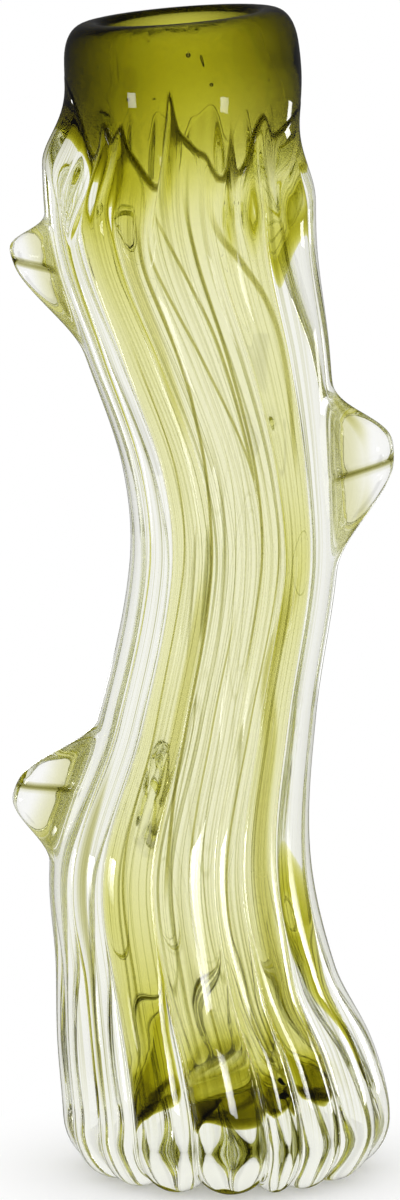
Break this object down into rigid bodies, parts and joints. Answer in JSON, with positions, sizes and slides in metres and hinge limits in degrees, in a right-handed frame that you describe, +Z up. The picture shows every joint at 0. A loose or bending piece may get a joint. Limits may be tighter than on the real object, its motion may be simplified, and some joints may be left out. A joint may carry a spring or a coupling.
{
  "type": "glass vase",
  "caption": "Tall cased-glass vase shaped like a leaning tree trunk: a thick-rimmed green vessel in clear ribbed glass with drawn-out branch knots.",
  "frame": {"origin": "centre of the flat ground foot that the vase stands on", "axes": "+Z up along the vase towards its mouth, -Y towards the viewer in the picture, +X to the viewer's right"},
  "size_m": [0.1151, 0.0983, 0.3523],
  "materials": {
    "green_glass": "clear olive green, fire-polished",
    "clear_glass": "clear colourless, fire-polished"
  },
  "bodies": {
    "root": {"green_vessel": "green_glass", "clear_casing": "clear_glass", "knot_upper_left": "clear_glass", "knot_right": "clear_glass", "knot_lower_left": "clear_glass"}
  },
  "joints": []
}
